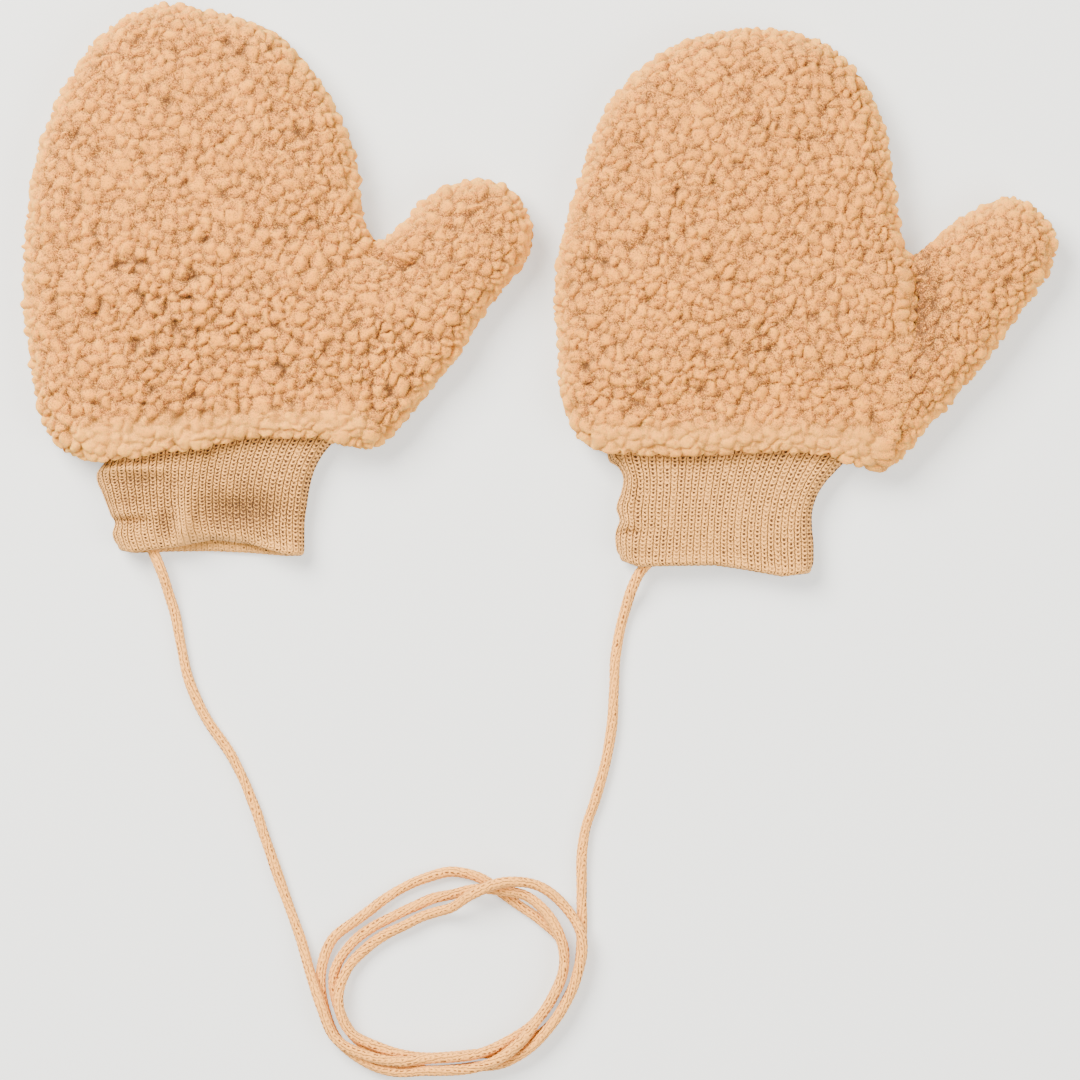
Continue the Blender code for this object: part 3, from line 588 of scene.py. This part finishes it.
def rib_cuff(solid, settings, material):
    """A rib-knit cuff: the outer layer down to the mouth, folded round there and back up inside."""
    table = CUFFS[solid]
    outer_rows, fold_rows, inner_rows = CUFF_ROWS
    rows = sum(CUFF_ROWS)
    across_rib, along_stitch = CUFF_STEPS
    bm, flat = flat_sheet(CUFF_RIBS * across_rib, rows * along_stitch)
    wall = settings.wall / MM
    row = flat[:, 1] * rows
    fold = np.clip((row - outer_rows) / fold_rows, 0, 1) * math.pi
    inward = np.clip((row - outer_rows - fold_rows) / inner_rows, 0, 1)
    share = np.clip(1 - row / outer_rows, 0, 1) + inward

    # The tube follows smooth edges, and its sides then take up the edges' own small kinks.
    places, lefts, rights = smooth_curve(table["edges"], 8).T
    left, right = np.interp(share, places, lefts), np.interp(share, places, rights)
    even_left = np.polyval(np.polyfit(places, lefts, 2), share)
    even_right = np.polyval(np.polyfit(places, rights, 2), share)
    x, z, girth = flat_tube(flat[:, 0], even_left, even_right, wall / 2 * (1 - np.cos(fold)))
    kinks = (left - even_left) * np.exp((even_left - x) / KINK_REACH)
    kinks += (right - even_right) * np.exp((x - even_right) / KINK_REACH)
    x = x + kinks

    hem_x, hem_y = np.array(sorted(table["hem"])).T
    across, low_y, high_y = np.array(table["mouth"]).T
    upper = smoothstep(z / CUFF_HEIGHT)
    reach = (x - left) / (right - left)
    mouth = np.interp(reach, across, low_y) * (1 - upper) + np.interp(reach, across, high_y) * upper
    y = mouth + (np.interp(x, hem_x, hem_y) - HEM_GAP - mouth) * share
    y += wall / 2 * (1 - np.sin(fold)) * (1 - share)

    relief = np.array(table["relief"])
    plan, on_top = np.stack([x, y], axis=1), smoothstep(4 * z / CUFF_HEIGHT - 2)
    swell = swells(plan, relief[:, :5]) * on_top
    # Painted shade and light from the relief rows: darker in the hollows, lighter on the ridges.
    painted_shade = swells(plan, relief[:, (0, 1, 2, 3, 5)]) * on_top
    z += np.where(swell < 0, swell, swell * np.cos(fold / 2) ** 2)
    place_points(bm, np.stack([x, y, z], axis=1))
    # Painted light at the fold, most on the lower layer where the upper layer's lip shades it.
    at_fold = smoothstep(1 - share / FOLD_SHARE)
    low_light, high_light = FOLD_PAINTED_LIGHT
    # The shade attribute carries the painted shade of the relief rows and the painted light at the fold.
    layers = {
        "shade": painted_shade + (low_light + (high_light - low_light) * upper) * at_fold,
        "rib": flat[:, 0] * CUFF_RIBS,
        "hidden": np.maximum(INSIDE_FADE * inward, FOLD_FLATNESS * at_fold),
    }
    for name, values in layers.items():
        layer = bm.verts.layers.float.new(name)
        for vert, value in zip(bm.verts, values):
            vert[layer] = value
    bmesh.ops.remove_doubles(bm, verts=open_points(bm), dist=WELD)
    bmesh.ops.bridge_loops(bm, edges=open_edges(bm))
    bmesh.ops.recalc_face_normals(bm, faces=bm.faces[:])
    bm.normal_update()
    rib, hidden = bm.verts.layers.float["rib"], bm.verts.layers.float["hidden"]
    grain_size, grain_depth = KNIT_GRAIN
    for vert in bm.verts:
        groove = 0.5 + 0.5 * math.cos(2 * math.pi * vert[rib])
        rise = grain_depth * noise.noise(vert.co / grain_size) - settings.rib_height / MM * groove
        vert.co += vert.normal * rise * (1 - min(1.0, vert[hidden]))
        vert.co.z = max(vert.co.z, 0.0)
    piece = finished(solid + "_knit", bm, material, solid, {})
    return piece


def cord_route():
    """The middle of the cord all the way: one lead, three open turns, the other lead."""
    def place(angle, radius, height):
        here = math.radians(angle)
        return (COIL_CENTRE[0] + radius * math.cos(here), COIL_CENTRE[1] + radius * math.sin(here), height)

    coil = []
    for turn, corner in enumerate(BUNDLE_CORNERS):
        for angle, *passes in GATHER:
            coil.append(place(angle, *passes[2 * turn : 2 * turn + 2]))
        for angle, radius, half_width, twist in BUNDLE:
            corners = [math.radians(other + twist) for other in BUNDLE_CORNERS]
            here = math.radians(corner + twist)
            lowest = min(math.sin(other) for other in corners)
            height = FLAT + STACK / math.sqrt(2) * (math.sin(here) - lowest)
            coil.append(place(angle, radius + half_width * math.sqrt(2) * math.cos(here), height))
        if turn < len(BUNDLE_CORNERS) - 1:
            for angle, *passes in FAN:
                coil.append(place(angle, *passes[2 * turn : 2 * turn + 2]))
    route = smooth_curve(list(FIRST_LEAD) + coil + list(LAST_LEAD), pieces=30)
    route[:, 2] = np.maximum(route[:, 2], FLAT)
    return route


def knitted_cord(settings):
    """The cord: a narrow tube of knitting that turns slowly as it goes."""
    route, way = spaced(cord_route(), CORD_RING)
    radius, stitch = settings.diameter / MM / 2, settings.stitch / MM
    bm, flat = flat_sheet(CORD_SIDES, len(route) - 1)
    ring = np.round(flat[:, 1] * (len(route) - 1)).astype(int)
    slow = sum(amount * np.sin(way / distance + start) for amount, distance, start in CORD_TURNING)
    turn = flat[:, 0] * 2 * math.pi + slow[ring]
    ahead = np.gradient(route, axis=0)
    ahead /= np.linalg.norm(ahead, axis=1)[:, None]
    side = np.cross(ahead, (0, 0, 1))
    side /= np.linalg.norm(side, axis=1)[:, None]
    over = np.cross(side, ahead)
    out = side[ring] * np.cos(turn)[:, None] + over[ring] * np.sin(turn)[:, None]
    columns = np.cos(2 * math.pi * flat[:, 0] * CORD_COLUMNS)
    rows = np.cos(2 * math.pi * way[ring] / stitch)
    uneven = sum(amount * np.sin(way / distance) for amount, distance in CORD_UNEVENNESS)
    rise, sunk = CORD_RELIEF
    thick = radius * (1 + uneven[ring]) + rise * (columns + rows) - sunk
    to_end = np.minimum(way, way[-1] - way) / radius
    thick *= np.sqrt(1 - (1 - np.clip(to_end, 0.1, 1)) ** 2)[ring]  # round ends
    points = route[ring] + out * thick[:, None]
    points[:, 2] = np.maximum(points[:, 2], 0.0)
    place_points(bm, points)
    bmesh.ops.remove_doubles(bm, verts=open_points(bm), dist=WELD)
    bmesh.ops.holes_fill(bm, edges=open_edges(bm), sides=0)
    bmesh.ops.recalc_face_normals(bm, faces=bm.faces[:])
    stops = ((0.1, settings.gap_shade), (0.8, settings.top))
    stitches = (CORD_COLUMNS, round(way[-1] / stitch))
    material = knit_material(
        "cord_wool", stitches, stops, contrast=0.9, depth=0.0002, hole=(0.13, 0.38), unevenness=2.2
    )
    piece = finished("cord_knit", bm, material, "cord", {})
    return piece


def node(tree, kind, inputs, **settings):
    """A shader node with its settings; each input is joined to an output or set to a value."""
    made = tree.nodes.new(kind)
    for name, value in settings.items():
        setattr(made, name, value)
    for socket, value in inputs.items():
        if isinstance(value, bpy.types.NodeSocket):
            tree.links.new(value, made.inputs[socket])
        else:
            made.inputs[socket].default_value = value
    return made


def math_node(tree, operation, *values):
    """The result of a calculation on outputs and numbers."""
    return node(tree, "ShaderNodeMath", dict(enumerate(values)), operation=operation).outputs[0]


def vector_node(tree, operation, inputs):
    """The result of a calculation on vectors."""
    return node(tree, "ShaderNodeVectorMath", inputs, operation=operation).outputs[0]


def attribute(tree, name):
    """A value that the mesh carries at each point."""
    return node(tree, "ShaderNodeAttribute", {}, attribute_name=name).outputs["Fac"]


def soft_step(tree, value, start, end):
    """0 where the value is at start, 1 where it is at end, smooth between."""
    inputs = {"Value": value, "From Min": start, "From Max": end}
    return node(tree, "ShaderNodeMapRange", inputs, interpolation_type="SMOOTHSTEP").outputs["Result"]


def new_group(name, inputs, outputs):
    """An empty node group with named sockets, and its input and output nodes."""
    group = bpy.data.node_groups.new(name, "ShaderNodeTree")
    for label, kind, default in inputs:
        socket = group.interface.new_socket(name=label, in_out="INPUT", socket_type=kind)
        if default is not None:
            socket.default_value = default
    for label, kind in outputs:
        group.interface.new_socket(name=label, in_out="OUTPUT", socket_type=kind)
    return group, group.nodes.new("NodeGroupInput"), group.nodes.new("NodeGroupOutput")


def fibre_group():
    """Node group for wool seen close: fine uneven grain as a shade and as a height, both about 0."""
    name = "Wool fibres"
    if name in bpy.data.node_groups:
        return bpy.data.node_groups[name]
    group, start, end = new_group(
        name,
        (("Scale", "NodeSocketFloat", 2000.0), ("Contrast", "NodeSocketFloat", 0.3)),
        (("Shade", "NodeSocketFloat"), ("Height", "NodeSocketFloat")),
    )
    place = node(group, "ShaderNodeTexCoord", {}).outputs["Object"]
    scale = start.outputs["Scale"]
    fine = {"Vector": place, "Scale": scale, "Detail": 1.5, "Roughness": 0.5, "Distortion": 1.0}
    grain = node(group, "ShaderNodeTexNoise", fine).outputs["Fac"]
    wide = {"Vector": place, "Scale": math_node(group, "MULTIPLY", scale, 0.22), "Detail": 2.0}
    patch = node(group, "ShaderNodeTexNoise", wide).outputs["Fac"]
    centred = math_node(group, "MULTIPLY_ADD", patch, 0.2, math_node(group, "SUBTRACT", grain, 0.6))
    shade = math_node(group, "MULTIPLY", centred, start.outputs["Contrast"])
    group.links.new(shade, end.inputs["Shade"])
    group.links.new(math_node(group, "SUBTRACT", grain, 0.5), end.inputs["Height"])
    return group


def knit_group():
    """Node group for knitting: each column of V stitches has a line of small holes up its middle and a groove
    on either side; these and the slanted creases are low in its height, which the colour turns into painted
    shade. The vector counts columns across and rows along."""
    name = "Knit stitches"
    if name in bpy.data.node_groups:
        return bpy.data.node_groups[name]
    group, start, end = new_group(
        name,
        (
            ("Vector", "NodeSocketVector", None),
            ("Hole width", "NodeSocketFloat", 0.14),
            ("Hole length", "NodeSocketFloat", 0.3),
            ("Slant", "NodeSocketFloat", 1.2),
            ("Unevenness", "NodeSocketFloat", 1.0),
        ),
        (("Height", "NodeSocketFloat"), ("Gaps", "NodeSocketFloat")),
    )
    vector = start.outputs["Vector"]
    uneven = node(group, "ShaderNodeTexNoise", {"Vector": vector, "Scale": 0.9, "Detail": 2.0})
    push = vector_node(group, "MULTIPLY", {0: uneven.outputs["Color"], 1: (0.34, 0.6, 0.0)})
    push = vector_node(group, "SCALE", {0: push, "Scale": start.outputs["Unevenness"]})
    moved = vector_node(group, "ADD", {0: vector, 1: push})
    parts = node(group, "ShaderNodeSeparateXYZ", {0: moved})
    from_groove = math_node(group, "PINGPONG", parts.outputs["X"], 0.5)
    from_middle = math_node(group, "SUBTRACT", 0.5, from_groove)
    from_row = math_node(group, "PINGPONG", parts.outputs["Y"], 0.5)
    wide = math_node(group, "DIVIDE", from_middle, start.outputs["Hole width"])
    wide = math_node(group, "POWER", wide, 2.0)
    long = math_node(group, "DIVIDE", from_row, start.outputs["Hole length"])
    long = math_node(group, "POWER", long, 2.0)
    hole = soft_step(group, math_node(group, "ADD", wide, long), 1.4, 0.3)
    chance = soft_step(group, uneven.outputs["Fac"], 0.36, 0.6)
    columns = vector_node(group, "MULTIPLY", {0: vector, 1: (0.8, 0.09, 0.0)})
    tight = node(group, "ShaderNodeTexNoise", {"Vector": columns, "Scale": 1.0, "Detail": 1.0})
    chance = math_node(group, "MULTIPLY", chance, soft_step(group, tight.outputs["Fac"], 0.3, 0.6))
    hole = math_node(group, "MULTIPLY", hole, math_node(group, "MULTIPLY_ADD", chance, 0.65, 0.5))
    slanted = math_node(group, "MULTIPLY_ADD", from_middle, start.outputs["Slant"], parts.outputs["Y"])
    crease = soft_step(group, math_node(group, "PINGPONG", slanted, 0.5), 0.16, 0.0)
    groove = math_node(group, "MULTIPLY", soft_step(group, from_groove, 0.11, 0.0), 0.9)
    patchy = math_node(group, "MULTIPLY_ADD", uneven.outputs["Fac"], 1.2, 0.35)
    groove = math_node(group, "MULTIPLY", groove, patchy)
    gaps = math_node(group, "MAXIMUM", hole, groove)
    gaps = math_node(group, "MAXIMUM", gaps, math_node(group, "MULTIPLY", crease, 0.45))
    group.links.new(math_node(group, "SUBTRACT", 1.0, gaps), end.inputs["Height"])
    group.links.new(gaps, end.inputs["Gaps"])
    return group


def wool_material(name, scale, contrast, stops):
    """Soft matte wool whose colour follows the level, from painted shade at 0 deep in it to 1 on top. Gives
    the material, its tree, its shader, the fibres and the colours, so that a finish can join its own level."""
    material = bpy.data.materials.new(name)
    material.use_nodes = True
    tree = material.node_tree
    shader = tree.nodes["Principled BSDF"]
    fibres = node(tree, "ShaderNodeGroup", {}, node_tree=fibre_group())
    fibres.inputs["Scale"].default_value = scale
    fibres.inputs["Contrast"].default_value = contrast
    colours = tree.nodes.new("ShaderNodeValToRGB")
    elements = colours.color_ramp.elements
    for _ in stops[2:]:
        elements.new(0.5)
    for element, (position, colour) in zip(elements, stops):
        element.position = position
        element.color = (*colour, 1)
    shader.inputs["Roughness"].default_value = 0.92
    shader.inputs["Specular IOR Level"].default_value = 0.12
    shader.inputs["Sheen Weight"].default_value = 0.14
    shader.inputs["Sheen Roughness"].default_value = 0.6
    shader.inputs["Sheen Tint"].default_value = (1.0, 0.8, 0.6, 1.0)
    return material, tree, shader, fibres, colours


def knit_material(name, stitches, stops, contrast, depth, hole, unevenness):
    """Knitted wool: stitches counts columns and rows over the piece's own map."""
    material, tree, shader, fibres, colours = wool_material(name, KNIT_FIBRES, contrast, stops)
    place = node(tree, "ShaderNodeUVMap", {}, uv_map="UVMap").outputs[0]
    counted = node(tree, "ShaderNodeMapping", {"Vector": place, "Scale": (*stitches, 1.0)}).outputs[0]
    knit = node(tree, "ShaderNodeGroup", {}, node_tree=knit_group())
    tree.links.new(counted, knit.inputs["Vector"])
    knit.inputs["Hole width"].default_value, knit.inputs["Hole length"].default_value = hole
    knit.inputs["Unevenness"].default_value = unevenness
    # Level for the colour: painted shade in the holes, grooves and creases, plus the shade attribute where
    # the mesh has one.
    shade = math_node(tree, "ADD", fibres.outputs["Shade"], attribute(tree, "shade"))
    level = math_node(tree, "ADD", knit.outputs["Height"], shade)
    tree.links.new(level, colours.inputs["Fac"])
    tree.links.new(colours.outputs["Color"], shader.inputs["Base Color"])
    height = math_node(tree, "MULTIPLY_ADD", fibres.outputs["Height"], 0.4, knit.outputs["Height"])
    bump = node(tree, "ShaderNodeBump", {"Height": height, "Distance": depth, "Strength": 0.9})
    tree.links.new(bump.outputs["Normal"], shader.inputs["Normal"])
    return material


def fleece_material(settings):
    """Curly fleece: warm curls with painted shade down their sides and deep brown painted shade in the gaps,
    paler rolled hems and painted rim light on steep edges.
    """
    stops = ((0.12, settings.gap_shade), (0.52, settings.middle), (0.98, settings.top))
    material, tree, shader, fibres, colours = wool_material("fleece_curls", FLEECE_FIBRES, 3.3, stops)
    # The curls' height sets the colour: painted shade in the gaps and down the sides, lighter tops.
    relief = attribute(tree, "relief")
    reach = {"Value": relief, "From Min": 0.25, "From Max": 0.75, "To Min": 1.7, "To Max": 0.75}
    fuzz = node(tree, "ShaderNodeMapRange", reach).outputs["Result"]
    grain = math_node(tree, "MULTIPLY", fibres.outputs["Shade"], fuzz)
    tree.links.new(math_node(tree, "ADD", relief, grain), colours.inputs["Fac"])
    # Mix in the painted rim light on steep rims and the paler hems.
    painted_rim_light_and_hem = {0: attribute(tree, "painted_rim_light_and_hem"), 6: colours.outputs["Color"], 7: (*settings.painted_rim_light_and_hem, 1)}
    mixed = node(tree, "ShaderNodeMix", painted_rim_light_and_hem, data_type="RGBA").outputs[2]
    own = {"Value": attribute(tree, "shade"), "To Min": 0.9, "To Max": 1.08}
    value = node(tree, "ShaderNodeMapRange", own).outputs["Result"]
    varied = node(tree, "ShaderNodeHueSaturation", {"Value": value, "Color": mixed})
    tree.links.new(varied.outputs["Color"], shader.inputs["Base Color"])
    shader.inputs["Subsurface Weight"].default_value = 0.5
    shader.inputs["Subsurface Radius"].default_value = (1.0, 0.6, 0.35)
    shader.inputs["Subsurface Scale"].default_value = 0.0007
    fuzzy = {"Height": fibres.outputs["Height"], "Distance": 0.0006, "Strength": 1.0}
    tree.links.new(node(tree, "ShaderNodeBump", fuzzy).outputs["Normal"], shader.inputs["Normal"])
    return material


class MITTENS_OT_stage(bpy.types.Operator):
    """Set up the floor, the lights and the camera straight above"""

    bl_idname = "mittens.stage"
    bl_label = "Floor, light and camera"

    def execute(self, context):
        settings = context.scene.mitten_stage
        bm = bmesh.new()
        bmesh.ops.create_grid(bm, x_segments=1, y_segments=1, size=4.0)
        bmesh.ops.translate(bm, verts=bm.verts[:], vec=FLOOR_PLACE)
        mesh = bpy.data.meshes.new("floor")
        bm.to_mesh(mesh)
        bm.free()
        paper = bpy.data.materials.new("floor_paper")
        paper.use_nodes = True
        tree = paper.node_tree
        shader = tree.nodes["Principled BSDF"]
        place = tree.nodes.new("ShaderNodeTexCoord")
        wide = {"Vector": place.outputs["Object"], "Scale": 3.0, "Detail": 1.0}
        cloud = node(tree, "ShaderNodeTexNoise", wide)
        tones = tree.nodes.new("ShaderNodeValToRGB")
        tones.color_ramp.elements[0].color = (*[value * 0.99 for value in settings.floor], 1)
        tones.color_ramp.elements[1].color = (*settings.floor, 1)
        tree.links.new(cloud.outputs["Fac"], tones.inputs["Fac"])
        tree.links.new(tones.outputs["Color"], shader.inputs["Base Color"])
        shader.inputs["Roughness"].default_value = 0.9
        shader.inputs["Emission Color"].default_value = (1.0, 1.0, 1.0, 1.0)
        shader.inputs["Emission Strength"].default_value = settings.glow
        mesh.materials.append(paper)
        floor = bpy.data.objects.new("floor", mesh)
        context.scene.collection.objects.link(floor)

        middle = Vector(VIEW_MIDDLE)
        camera = bpy.data.cameras.new("camera")
        camera.sensor_width = SENSOR
        camera.lens = SENSOR * settings.distance / settings.view_width
        camera.clip_end = 10.0
        eye = bpy.data.objects.new("camera", camera)
        eye.location = middle + Vector((0, 0, settings.distance))
        context.scene.collection.objects.link(eye)
        context.scene.camera = eye

        def light(name, power, size, offset):
            lamp = bpy.data.lights.new(name, "AREA")
            lamp.energy = power
            lamp.size = size
            lamp.color = settings.warmth
            source = bpy.data.objects.new(name, lamp)
            source.location = middle + Vector(offset)
            source.rotation_mode = "QUATERNION"
            source.rotation_quaternion = Vector(offset).to_track_quat("Z", "Y")
            context.scene.collection.objects.link(source)

        light("key_light", settings.key, 0.9, (-0.75, 0.75, 1.15))
        light("fill_light", settings.key * 0.35, 1.2, (1.0, -0.4, 1.1))
        world = bpy.data.worlds.new("studio")
        world.use_nodes = True
        tree = world.node_tree
        seen = node(tree, "ShaderNodeLightPath", {}).outputs["Is Camera Ray"]
        tint = {0: seen, 6: (*settings.warmth, 1.0), 7: (1.0, 1.0, 1.0, 1.0)}
        sky = tree.nodes["Background"]
        tree.links.new(node(tree, "ShaderNodeMix", tint, data_type="RGBA").outputs[2], sky.inputs["Color"])
        sky.inputs["Strength"].default_value = settings.fill
        context.scene.world = world
        return {"FINISHED"}


class MITTENS_OT_cord(bpy.types.Operator):
    """Make the knitted cord with its loose coil"""

    bl_idname = "mittens.cord"
    bl_label = "Cord"

    def execute(self, context):
        settings = context.scene.mitten_cord
        knitted_cord(settings)
        return {"FINISHED"}


class MITTENS_OT_fleece(bpy.types.Operator):
    """Make the curly fleece panels"""

    bl_idname = "mittens.fleece"
    bl_label = "Curly fleece"

    def execute(self, context):
        settings = context.scene.mitten_fleece
        material = fleece_material(settings)
        for row in PANELS:
            fleece_panel(row, settings, material)
        return {"FINISHED"}


class MITTENS_OT_cuffs(bpy.types.Operator):
    """Make the folded rib-knit cuffs"""

    bl_idname = "mittens.cuffs"
    bl_label = "Rib-knit cuffs"

    def execute(self, context):
        settings = context.scene.mitten_knit
        stops = ((0.34, settings.gap_shade), (0.95, settings.top))
        stitches = (CUFF_RIBS, sum(CUFF_ROWS))
        material = knit_material(
            "rib_knit_wool", stitches, stops, contrast=1.3, depth=0.0005, hole=(0.2, 0.33), unevenness=1.0
        )
        for name in CUFFS:
            rib_cuff(name, settings, material)
        return {"FINISHED"}


class MITTENS_PT_panel(bpy.types.Panel):
    """Settings and steps for the pair of mittens"""

    bl_idname = "MITTENS_PT_panel"
    bl_label = "Baby mittens"
    bl_space_type = "VIEW_3D"
    bl_region_type = "UI"
    bl_category = "Mittens"

    def draw(self, context):
        for owner, operator in STEPS:
            box = self.layout.box()
            settings = getattr(context.scene, owner)
            for name in settings.__annotations__:
                box.prop(settings, name)
            box.operator(operator)


STEPS = (
    ("mitten_stage", "mittens.stage"),
    ("mitten_cord", "mittens.cord"),
    ("mitten_fleece", "mittens.fleece"),
    ("mitten_knit", "mittens.cuffs"),
)
SETTINGS = {
    "mitten_stage": StageSettings,
    "mitten_cord": CordSettings,
    "mitten_fleece": FleeceSettings,
    "mitten_knit": KnitSettings,
}
CLASSES = (
    *SETTINGS.values(),
    MITTENS_OT_stage,
    MITTENS_OT_cord,
    MITTENS_OT_fleece,
    MITTENS_OT_cuffs,
    MITTENS_PT_panel,
)


def register():
    for cls in CLASSES:
        bpy.utils.register_class(cls)
    for name, kind in SETTINGS.items():
        setattr(bpy.types.Scene, name, bpy.props.PointerProperty(type=kind))


def unregister():
    for name in SETTINGS:
        delattr(bpy.types.Scene, name)
    for cls in reversed(CLASSES):
        bpy.utils.unregister_class(cls)


def main():
    register()
    bpy.ops.mittens.stage()
    bpy.ops.mittens.cord()
    bpy.ops.mittens.fleece()
    bpy.ops.mittens.cuffs()


if __name__ == "__main__":
    main()
